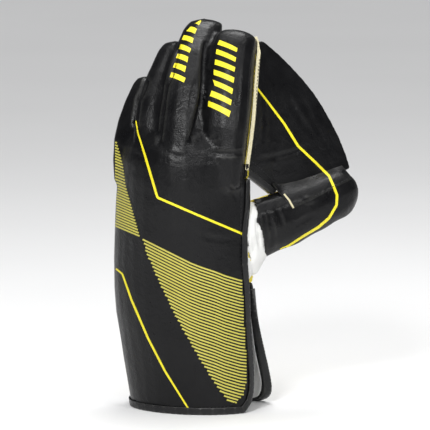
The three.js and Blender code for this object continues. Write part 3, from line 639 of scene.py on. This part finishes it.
web = cut_fine(merged("web_leather", "web"), 0.0026, 4)
folded(web)
mark_wear(web, 0.0005)
finish_piece(web, BLACK_LEATHER, "black_leather", "web", sharp=55)
web_back = cut_fine(merged("web_rubber", "web_facing"), 0.003, 3)
folded(web_back)
finish_piece(web_back, PALM_RUBBER, "palm_rubber", "web_facing", sharp=55)


# The flap on the palm side of the gauntlet: black leather that flares open at the thumb's side, lined
# with white cloth, with a folded leather binding along its edges.
FLAP_SET = (((268, 388), 26, (4, 0)),)
flap = cut_fine(merged("gauntlet_flap", "palm_gauntlet"), 0.005, 4)
nudge(flap, *FLAP_SET)
unrest(flap, 0.0005, 0.05, 31)
mark_wear(flap, 0.0005)
finish_piece(flap, BLACK_LEATHER, "black_leather", "palm_gauntlet", sharp=50)
lining = cut_fine(merged("flap_lining", "gauntlet_lining"), 0.004, 3)
nudge(lining, *FLAP_SET)
unrest(lining, 0.0004, 0.05, 31)
finish_piece(lining, WHITE_CLOTH, "white_cloth", "gauntlet_lining", sharp=50)


# Folded bindings: narrow strips of thinner, shinier leather folded over the raw edges of the back, the
# flap and the web's free edge, and sewn through with black thread.
BINDING_LEATHER = hide("binding leather", (0.010, 0.010, 0.011), (0.022, 0.022, 0.022), (0.09, 0.09, 0.085), (0.28, 0.4))
for name, node in (("rim_piping", "rim_binding"), ("flap_piping", "flap_binding"), ("web_piping", "web_binding")):
    strip = cut_fine(merged(name, node), 0.003, 2, 0.25)
    if name == "flap_piping":
        nudge(strip, *FLAP_SET)
    mark_wear(strip, 0.0004)
    finish_piece(strip, BINDING_LEATHER, "black_leather", node, sharp=60)


# The raw cut edge beside the index finger: undyed cream leather left unbound, a little fuzzy, where the
# web is sewn to the finger.
RAW_EDGE = hide("raw edge", (0.50, 0.45, 0.27), (0.66, 0.61, 0.42), (0.74, 0.70, 0.55), (0.7, 0.85), 1.2, 0.8, 0.3)
edge = cut_fine(merged("raw_edge", "index_edge"), 0.002, 1, 0.2)
nudge(edge, *TIP_SET)
mark_wear(edge)
finish_piece(edge, RAW_EDGE, "raw_edge", "index_edge", sharp=60)


# The yellow prints: thin films of flexible ink pressed into the leather: bars across two fingers, a fine
# line over the hand, and slanting stripes on the little finger's side and down the gauntlet.
def printed(name, dark, light):
    material, shader, add, link = shader_for(name)
    place = add("ShaderNodeTexCoord").outputs["Object"]
    mottle = add("ShaderNodeTexNoise", Vector=place, Scale=260.0, Detail=5.0)
    link(between(add, mottle.outputs["Fac"], dark, light), shader.inputs["Base Color"])
    link(spread(add, mottle.outputs["Fac"], 0.3, 0.7, 0.38, 0.55), shader.inputs["Roughness"])
    bump = add("ShaderNodeBump", Height=mottle.outputs["Fac"], Strength=0.25, Distance=0.0003)
    link(bump.outputs["Normal"], shader.inputs["Normal"])
    return material


BRIGHT_INK = printed("bright yellow ink", (0.74, 0.63, 0.01), (0.90, 0.79, 0.02))
PALE_INK = printed("pale yellow ink", (0.46, 0.42, 0.06), (0.60, 0.55, 0.10))
FILM_RISE = 0.00022
FILM_DEPTH = 0.0005


def tree_of(*pieces):
    """One search tree over the outer faces of some pieces."""
    places, faces = [], []
    for piece in pieces:
        start = len(places)
        places += [v.co.copy() for v in piece.data.vertices]
        faces += [[start + i for i in face.vertices] for face in piece.data.polygons]
    return BVHTree.FromPolygons(places, faces)


def landing(target, x, y, rise=FILM_RISE):
    """The place on a surface that is seen at a picture point, lifted by the film's thickness."""
    place, normal, _, _ = target.ray_cast(Vector(eye), look_at(x, y))
    if place is None:
        return None
    if normal.dot(Vector(ahead)) > 0:
        normal = -normal
    return place + normal * rise


def patch_on(shape, target, rows):
    """Adds one patch of film from rows of picture points, leaving out what misses the surface."""
    grid = [[landing(target, x, y) for x, y in row] for row in rows]
    made = [[shape.verts.new(p) if p is not None else None for p in row] for row in grid]
    reach = 0.013
    for upper, lower in zip(made, made[1:]):
        for i in range(len(upper) - 1):
            corners = (upper[i], upper[i + 1], lower[i + 1], lower[i])
            if None in corners:
                continue
            if max((a.co - b.co).length for a in corners for b in corners) < reach:
                shape.faces.new(corners)


def spaced(path, step):
    """Points along a path at even steps."""
    path = np.array(path, float)
    lengths = np.concatenate(([0], np.cumsum(np.linalg.norm(np.diff(path, axis=0), axis=1))))
    count = max(2, int(round(lengths[-1] / step)) + 1)
    marks = np.linspace(0, lengths[-1], count)
    return np.stack([np.interp(marks, lengths, path[:, i]) for i in (0, 1)], 1)


def line_rows(path, width, taper=(1.0, 1.0), step=1.6):
    """Rows across a line of the given width, thinned towards its ends."""
    points = spaced(path, step)
    ways = np.gradient(points, axis=0)
    ways /= np.linalg.norm(ways, axis=1)[:, None]
    sides = np.stack([ways[:, 1], -ways[:, 0]], 1)
    widths = width * np.interp(np.linspace(0, 1, len(points)), (0, 0.25, 0.75, 1), (taper[0], 1, 1, taper[1]))
    return [[p + s * w * k for k in (-0.5, 0, 0.5)] for p, s, w in zip(points, sides, widths)]


def quad_rows(corners, sag=0.6):
    """Rows that fill a bar with four corners, bowed a little at its middle."""
    tl, tr, br, bl = (np.array(c, float) for c in corners)
    rows = []
    for v in np.linspace(0, 1, 4):
        left, right = tl + (bl - tl) * v, tr + (br - tr) * v
        rows.append([left + (right - left) * u - (0, 4 * sag * u * (1 - u)) for u in np.linspace(0, 1, 12)])
    return rows


def from_shape(name, shape, thickness):
    """A thin closed piece from a sheet whose faces are turned to the eye."""
    for face in shape.faces:
        face.normal_update()
        if face.normal.dot(Vector(ahead)) > 0:
            face.normal_flip()
    return walled(name, shape, thickness)


def walled(name, shape, thickness):
    """A thin closed piece from a sheet, its wall added inwards."""
    mesh = bpy.data.meshes.new(name)
    shape.to_mesh(mesh)
    shape.free()
    made = bpy.data.objects.new(name, mesh)
    bpy.context.scene.collection.objects.link(made)
    wall = made.modifiers.new("wall", "SOLIDIFY")
    wall.thickness = thickness
    wall.offset = -1
    return baked(made)


def film(name, target, groups, ink):
    """A piece of film from groups of rows."""
    shape = bmesh.new()
    for rows in groups:
        patch_on(shape, target, rows)
    loose = [v for v in shape.verts if not v.link_faces]
    bmesh.ops.delete(shape, geom=loose, context="VERTS")
    return finish_piece(from_shape(name, shape, FILM_DEPTH), ink, None)


hand_side = tree_of(skin)
INDEX_BARS = [
    ((219.6, 40.2), (237.5, 48.2), (236.6, 52.2), (217.4, 44.6)),
    ((216.5, 49.1), (236.2, 57.6), (235.3, 62), (216, 54)),
    ((215.2, 59.4), (235.3, 67.4), (234.4, 71.9), (214.7, 64.7)),
    ((213.8, 69.6), (234.4, 77.7), (233.5, 83), (213.8, 75)),
    ((213, 79.9), (233, 88.8), (232.1, 94.2), (214.7, 85.7)),
    ((211.6, 90.6), (231.7, 100), (230.8, 105.4), (209.8, 96)),
    ((208.5, 100.9), (230.8, 111.2), (229, 117), (208, 106.3)),
]
MIDDLE_BARS = [
    ((200, 20.7), (201.3, 21.4), (198.7, 25.4), (194.8, 23.7)),
    ((190.6, 26.8), (196.9, 29), (195, 33.9), (186.4, 31.3)),
    ((183.9, 35.3), (193.6, 38.4), (192.4, 43.3), (182, 39.7)),
    ((180.8, 44.2), (191, 48.7), (189.7, 52.9), (179, 49.1)),
    ((177.7, 53.6), (188.4, 57.1), (187.3, 62.5), (175.9, 58)),
    ((174.6, 63), (186.2, 66.5), (184.8, 72.3), (172.8, 67.4)),
    ((171.4, 72.3), (185.7, 78.1), (183.9, 82.6), (169.8, 77.2)),
]
film("finger_bars", hand_side, [quad_rows(bar) for bar in INDEX_BARS + MIDDLE_BARS], BRIGHT_INK)

HAND_LINE = [(136, 121), (138, 133), (145.5, 157), (157.5, 197.5), (200, 216), (245, 235)]
GAUNTLET_LINE = [(116.2, 268.7), (122.5, 274), (131.6, 300), (148, 338), (165, 371), (188, 408)]
film(
    "hand_lines",
    hand_side,
    [line_rows(HAND_LINE, 2.3, (0.4, 1.0)), line_rows(GAUNTLET_LINE, 2.0, (0.7, 0.8))],
    BRIGHT_INK,
)

SIDE_EDGE = [(117, 143), (123, 165), (125.5, 185), (132.5, 210), (139.6, 236)]
STRIPE_PITCH = 3.16
STRIPE_WIDTH = 1.5
SIDE_STRIPES = 30
SIDE_FALL = math.tan(math.radians(23))
SILHOUETTE = 115.3
side_rows = []
for y in np.linspace(SIDE_EDGE[0][1], SIDE_EDGE[-1][1], SIDE_STRIPES + 1):
    x = np.interp(y, [p[1] for p in SIDE_EDGE], [p[0] for p in SIDE_EDGE])
    side_rows.append(
        line_rows([(SILHOUETTE, y - (x - SILHOUETTE) * SIDE_FALL), (x, y)], STRIPE_WIDTH, step=1.3)
    )
film("side_stripes", hand_side, side_rows, PALE_INK)

LEFT_EDGE = [(142, 239), (147, 255), (159, 283), (176, 318), (195, 352), (214, 383), (229, 404)]
RIGHT_EDGE = [(243, 281), (244, 304), (245.4, 335.5), (247.5, 362), (247, 380), (243.4, 396), (236, 404)]
TOP_STRIPE = [(130, 233), (150, 243), (170, 253), (190, 263), (200, 267), (215, 272), (225, 276), (240, 280.5), (252, 282)]
GAUNTLET_STRIPES = 40
STEP = 1.4
stripe_rows = []
for number in range(GAUNTLET_STRIPES):
    path = [
        (x, y)
        for x, y in ((x, np.interp(x, *zip(*TOP_STRIPE)) + number * STRIPE_PITCH) for x in np.arange(140, 252, STEP))
        if np.interp(y, *zip(*[p[::-1] for p in LEFT_EDGE])) <= x <= np.interp(y, *zip(*[p[::-1] for p in RIGHT_EDGE]))
        and LEFT_EDGE[0][1] <= y <= LEFT_EDGE[-1][1]
    ]
    if len(path) > 2:
        stripe_rows.append(line_rows(path, STRIPE_WIDTH))
film("gauntlet_stripes", hand_side, stripe_rows, PALE_INK)



# The web's foot: the web leather runs on over the thumb's front and is sewn down along a slanting crease,
# where a narrow raw edge shows at its near end.
FOOT_TOP = [(272, 183), (282, 184), (300, 180), (320, 173), (345, 164)]
FOOT_LINE = [(286, 201), (293.5, 208), (312, 200), (334, 188), (356.5, 177)]
FOOT_ROWS = 9
FOOT_RISE = 0.0007


def laid_between(name, first, last, top, foot, rows, rise):
    """A sheet laid from a line on one surface to a line on another, in front of all that lies between."""
    both = tree_of(first, last)
    count = 40
    starts = [landing(tree_of(first), x, y, rise) for x, y in spaced_evenly(top, count)]
    ends = [landing(tree_of(last), x, y, rise * 0.4) for x, y in spaced_evenly(foot, count)]
    pairs = [(a, b) for a, b in zip(starts, ends) if a is not None and b is not None]
    grid = np.array([[a.lerp(b, k / (rows - 1)) for k in range(rows)] for a, b in pairs])
    for row in grid:
        for k in range(1, rows - 1):
            way = Vector(row[k] - eye).normalized()
            place, _, _, _ = both.ray_cast(Vector(eye), way)
            if place is not None and (place - Vector(eye)).length - rise < np.linalg.norm(row[k] - eye):
                row[k] = place - way * rise
    for _ in range(3):
        eased = (grid[:, :-2] + grid[:, 2:]) / 2
        closer = ((eased - grid[:, 1:-1]) @ ahead) < 0
        grid[:, 1:-1][closer] = eased[closer]
    shape = bmesh.new()
    made = [[shape.verts.new(p) for p in row] for row in grid]
    for left, right in zip(made, made[1:]):
        for k in range(rows - 1):
            shape.faces.new((left[k], left[k + 1], right[k + 1], right[k]))
    return from_shape(name, shape, 0.0012)


def spaced_evenly(path, count):
    """A fixed number of points along a path."""
    path = np.array(path, float)
    lengths = np.concatenate(([0], np.cumsum(np.linalg.norm(np.diff(path, axis=0), axis=1))))
    marks = np.linspace(0, lengths[-1], count)
    return np.stack([np.interp(marks, lengths, path[:, i]) for i in (0, 1)], 1)


foot = laid_between("web_foot", web, thumb, FOOT_TOP, FOOT_LINE, FOOT_ROWS, FOOT_RISE)
mark_wear(foot, 0.0005)
finish_piece(foot, BLACK_LEATHER, "black_leather", sharp=60)
film("web_raw_end", tree_of(foot, thumb), [line_rows([(284, 194), (289, 200), (293.5, 208)], 1.7)], RAW_EDGE)
TAIL_LEFT = [(245.5, 236), (246.3, 255), (246.3, 270), (246, 280)]
TAIL_RIGHT = [(256, 240), (258, 262), (252.5, 274), (247.5, 281)]
tail_rows = [
    [np.array(a) + (np.array(b) - np.array(a)) * k for k in np.linspace(0, 1, 8)]
    for a, b in zip(spaced_evenly(TAIL_LEFT, 24), spaced_evenly(TAIL_RIGHT, 24))
]
tail = film("gusset_tail", tree_of(palm, gusset), [tail_rows], WHITE_CLOTH)
COVER_ROWS = [[(243.5 + k, y) for k in np.linspace(0, 6.5, 6)] for y in np.linspace(164, 182, 14)]
cover = film("seam_cover", tree_of(palm, skin, edge), [COVER_ROWS], BLACK_LEATHER)

web_side = tree_of(web, thumb, foot)
WEB_LINE = [
    (257, 88), (270, 105), (284, 123.5), (298, 146), (316, 163), (329, 176), (333, 185), (337, 195), (336.5, 205),
    (329, 218), (318.6, 227), (302.5, 236.6), (288, 246), (281, 249), (276, 253.6), (268, 256.5),
]
film("web_line", web_side, [line_rows(WEB_LINE, 2.5, (0.7, 0.6))], BRIGHT_INK)


# The stitching: waxed thread in even stitches along the back panel's thumb edge, the rim, the web's free
# edge, the web's foot, the thumb's mouth and the wrinkled seam beside the index finger.
THREAD_PITCH = 0.0032
THREAD_LENGTH = 0.0022
THREAD_WIDTH = 0.0006
stitch_tree, entry, out, add = new_tree(
    "stitches",
    [("Pitch", "Float"), ("Length", "Float"), ("Width", "Float"), ("Material", "Material")],
)
run = add("GeometryNodeMeshToCurve", Mesh=entry.outputs["Geometry"])
even = add("GeometryNodeResampleCurve", mode="LENGTH")
stitch_tree.links.new(run.outputs["Curve"], even.inputs["Curve"])
stitch_tree.links.new(entry.outputs["Pitch"], even.inputs["Length"])
tangent = add("GeometryNodeInputTangent")
lay = add("FunctionNodeAlignRotationToVector", axis="X", Vector=tangent.outputs["Tangent"])
bead = add("GeometryNodeMeshIcoSphere", Radius=0.5, Subdivisions=2)
proportion = add("ShaderNodeCombineXYZ")
stitch_tree.links.new(entry.outputs["Length"], proportion.inputs["X"])
stitch_tree.links.new(entry.outputs["Width"], proportion.inputs["Y"])
stitch_tree.links.new(entry.outputs["Width"], proportion.inputs["Z"])
sewn = add("GeometryNodeInstanceOnPoints")
for value, label in (
    (even.outputs["Curve"], "Points"),
    (bead.outputs["Mesh"], "Instance"),
    (lay.outputs["Rotation"], "Rotation"),
    (proportion.outputs["Vector"], "Scale"),
):
    stitch_tree.links.new(value, sewn.inputs[label])
solid = add("GeometryNodeRealizeInstances", Geometry=sewn.outputs["Instances"])
coated = add("GeometryNodeSetMaterial", Geometry=solid.outputs["Geometry"], Material=entry.outputs["Material"])
stitch_tree.links.new(coated.outputs["Geometry"], out.inputs[0])

BLACK_THREAD = hide("black thread", (0.012, 0.012, 0.013), (0.03, 0.03, 0.03), (0.08, 0.08, 0.08), (0.45, 0.6))


def sewn_along(name, target, path, thread, step=2.0):
    """A row of stitches along a path of picture points, laid on a surface."""
    found = [landing(target, x, y, THREAD_WIDTH * 0.2) for x, y in spaced(path, step)]
    found = [p for p in found if p is not None]
    return stitched(name, found, thread)


def stitched(name, points, thread):
    mesh = bpy.data.meshes.new(name)
    mesh.from_pydata(points, [(i, i + 1) for i in range(len(points) - 1)], [])
    line = bpy.data.objects.new(name, mesh)
    bpy.context.scene.collection.objects.link(line)
    line.data = grown_by(
        stitch_tree,
        line,
        {"Pitch": THREAD_PITCH, "Length": THREAD_LENGTH, "Width": THREAD_WIDTH, "Material": thread},
    )
    return finish_piece(line, thread, None, sharp=0)


pipings = [o for o in bpy.context.scene.objects if o.name in ("rim_piping", "flap_piping", "web_piping")]
seen = tree_of(skin, web, thumb, foot, edge, cover, *pipings)
SEAMS = {
    "panel_stitches": [(242, 168), (241, 195), (240.5, 230), (241, 262), (242.5, 283), (244, 310), (246, 338), (247.5, 362),
                       (247.5, 380), (245, 391), (239, 400), (228, 406.5)],
    "rim_stitches": [(136, 403), (145, 406.5), (165, 408), (190, 408.5), (215, 407.5), (228, 406.5)],
    "web_edge_stitches": [(253, 162), (262, 170), (274, 181), (284, 190)],
    "foot_stitches": [(297, 204.5), (312, 197.5), (334, 186), (353, 176)],
    "thumb_mouth_stitches": [(254, 205), (260, 217), (263.5, 230), (265, 246), (263, 255)],
    "web_seam_stitches": [(259.5, 60), (257, 85), (256, 110), (255.5, 135), (255, 155)],
    "finger_seam_stitches": [(254, 45), (250, 66), (248, 90), (246.5, 119), (246.5, 149)],
}
for name, path in SEAMS.items():
    sewn_along(name, seen, path, BLACK_THREAD)


# A plain pale floor under the glove.
bpy.ops.mesh.primitive_plane_add(size=60)
floor = bpy.context.object
floor.name = "floor"
paper, shader, add, link = shader_for("pale floor")
speck = add("ShaderNodeTexNoise", Vector=add("ShaderNodeTexCoord").outputs["Object"], Scale=3.0)
link(between(add, speck.outputs["Fac"], (0.80, 0.80, 0.80), (0.84, 0.84, 0.84)), shader.inputs["Base Color"])
shader.inputs["Roughness"].default_value = 0.9
floor.data.materials.append(paper)
